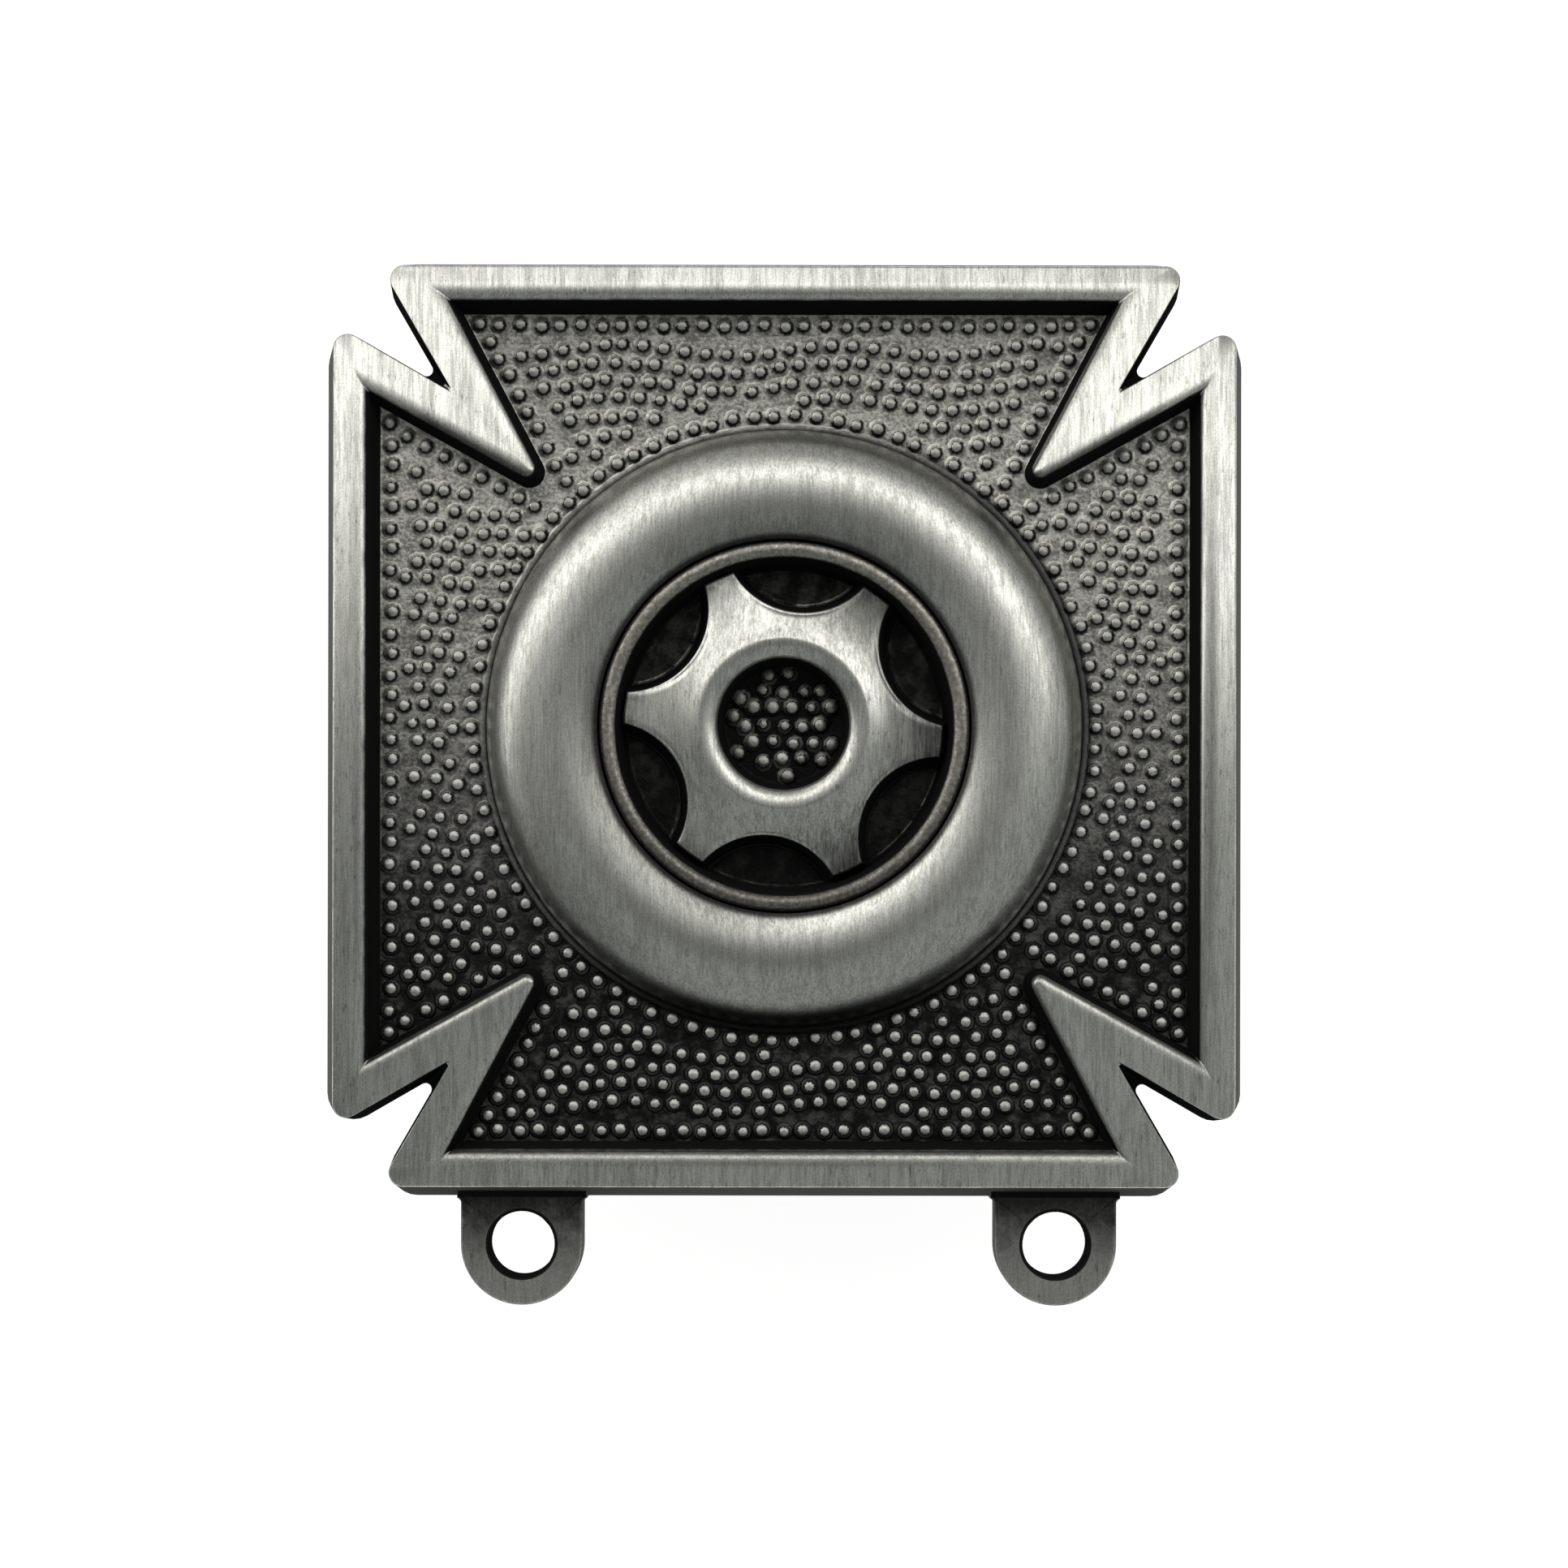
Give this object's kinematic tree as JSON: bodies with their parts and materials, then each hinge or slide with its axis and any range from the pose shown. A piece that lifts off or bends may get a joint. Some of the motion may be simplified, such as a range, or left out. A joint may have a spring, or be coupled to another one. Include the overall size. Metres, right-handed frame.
{
  "type": "qualification badge",
  "caption": "Die-struck cross pattee badge with a raised rim, stippled field and central disc wheel, eyelets below for hanging bars, and clutch-backed posts behind.",
  "frame": {"origin": "middle of the flat back, on the wheel's axis, where the badge sits against the cloth", "axes": "+Z out of the badge's face, +Y up as worn, +X to the right as seen from the front"},
  "size_m": [0.0254, 0.0289, 0.0093],
  "materials": {
    "antique_silver": "oxidised silver plate, brushed bright on its high places and black in its hollows",
    "clutch_metal": "satin nickel plate"
  },
  "bodies": {
    "root": {"badge": "antique_silver", "post_left": "antique_silver", "post_right": "antique_silver", "clutch_left": "clutch_metal", "clutch_right": "clutch_metal"}
  },
  "joints": []
}
